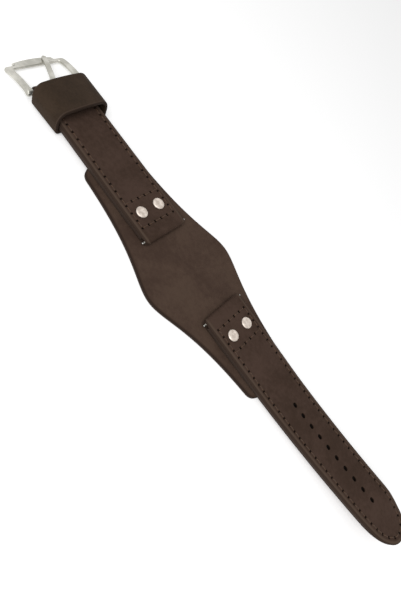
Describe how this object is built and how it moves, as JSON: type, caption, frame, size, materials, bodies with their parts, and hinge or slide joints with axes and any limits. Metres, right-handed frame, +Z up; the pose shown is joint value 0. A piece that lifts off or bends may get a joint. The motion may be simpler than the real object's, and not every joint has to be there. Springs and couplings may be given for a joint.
{
  "type": "leather watch strap",
  "caption": "Dark leather watch strap of a short and a long piece riveted on a flared cuff pad, with spring bars, a pin buckle and a sliding keeper.",
  "frame": {"origin": "middle of the cuff pad's underside", "axes": "+X along the strap towards its pointed tail, +Y across it, +Z up through the pad to the watch"},
  "size_m": [0.235, 0.046, 0.0105],
  "materials": {
    "pad_leather": "matte",
    "strap_leather": "matte",
    "lining_leather": "matte",
    "padding_board": "matte",
    "keeper_leather": "matte",
    "buckle_steel": "satin",
    "bar_steel": "satin",
    "rivet_metal": "satin"
  },
  "bodies": {
    "band": {"pad_top": "pad_leather", "pad_lining": "lining_leather", "buckle_strap_top": "strap_leather", "buckle_strap_filler": "padding_board", "buckle_strap_lining": "lining_leather", "tail_strap_top": "strap_leather", "tail_strap_filler": "padding_board", "tail_strap_lining": "lining_leather", "buckle_strap_rivets": "rivet_metal", "buckle_strap_rivet_backs": "bar_steel", "tail_strap_rivets": "rivet_metal", "tail_strap_rivet_backs": "bar_steel"},
    "keeper": {"keeper_loop": "keeper_leather"},
    "buckle": {"buckle_frame": "buckle_steel"},
    "prong": {"buckle_prong": "buckle_steel"},
    "buckle_bar": {"buckle_bar_tube": "bar_steel", "buckle_bar_spring": "bar_steel"},
    "buckle_bar_tip_near": {"buckle_bar_tip_near": "bar_steel"},
    "buckle_bar_tip_far": {"buckle_bar_tip_far": "bar_steel"},
    "short_lug_bar": {"short_lug_bar_tube": "bar_steel", "short_lug_bar_spring": "bar_steel"},
    "short_lug_bar_tip_near": {"short_lug_bar_tip_near": "bar_steel"},
    "short_lug_bar_tip_far": {"short_lug_bar_tip_far": "bar_steel"},
    "long_lug_bar": {"long_lug_bar_tube": "bar_steel", "long_lug_bar_spring": "bar_steel"},
    "long_lug_bar_tip_near": {"long_lug_bar_tip_near": "bar_steel"},
    "long_lug_bar_tip_far": {"long_lug_bar_tip_far": "bar_steel"}
  },
  "joints": [
    {"name": "keeper_slide", "type": "slide", "parent": "band", "child": "keeper", "axis": [1, 0, 0], "range_m": [0, 0.0157]},
    {"name": "buckle_swing", "type": "hinge", "parent": "band", "child": "buckle", "pos_m": [-0.0869, 0, 0.00365], "axis": [0, 1, 0], "range_deg": [-70, 60]},
    {"name": "prong_swing", "type": "hinge", "parent": "buckle", "child": "prong", "pos_m": [-0.0869, 0, 0.00365], "axis": [0, 1, 0], "range_deg": [0, 85]},
    {"name": "buckle_bar_spin", "type": "hinge", "parent": "band", "child": "buckle_bar", "pos_m": [-0.0869, 0, 0.00365], "axis": [0, 1, 0], "continuous": true},
    {"name": "buckle_bar_tip_near_press", "type": "slide", "parent": "buckle_bar", "child": "buckle_bar_tip_near", "axis": [0, 1, 0], "range_m": [0, 0.0012], "stiffness_N_per_m": 1500, "deforming": ["buckle_bar_spring"]},
    {"name": "buckle_bar_tip_far_press", "type": "slide", "parent": "buckle_bar", "child": "buckle_bar_tip_far", "axis": [0, -1, 0], "range_m": [0, 0.0012], "stiffness_N_per_m": 1500, "deforming": ["buckle_bar_spring"]},
    {"name": "short_lug_bar_spin", "type": "hinge", "parent": "band", "child": "short_lug_bar", "pos_m": [-0.01905, 0, 0.00375], "axis": [0, 1, 0], "continuous": true},
    {"name": "short_lug_bar_tip_near_press", "type": "slide", "parent": "short_lug_bar", "child": "short_lug_bar_tip_near", "axis": [0, 1, 0], "range_m": [0, 0.0011], "stiffness_N_per_m": 1500, "deforming": ["short_lug_bar_spring"]},
    {"name": "short_lug_bar_tip_far_press", "type": "slide", "parent": "short_lug_bar", "child": "short_lug_bar_tip_far", "axis": [0, -1, 0], "range_m": [0, 0.0011], "stiffness_N_per_m": 1500, "deforming": ["short_lug_bar_spring"]},
    {"name": "long_lug_bar_spin", "type": "hinge", "parent": "band", "child": "long_lug_bar", "pos_m": [0.01905, 0, 0.00375], "axis": [0, 1, 0], "continuous": true},
    {"name": "long_lug_bar_tip_near_press", "type": "slide", "parent": "long_lug_bar", "child": "long_lug_bar_tip_near", "axis": [0, 1, 0], "range_m": [0, 0.0011], "stiffness_N_per_m": 1500, "deforming": ["long_lug_bar_spring"]},
    {"name": "long_lug_bar_tip_far_press", "type": "slide", "parent": "long_lug_bar", "child": "long_lug_bar_tip_far", "axis": [0, -1, 0], "range_m": [0, 0.0011], "stiffness_N_per_m": 1500, "deforming": ["long_lug_bar_spring"]}
  ]
}
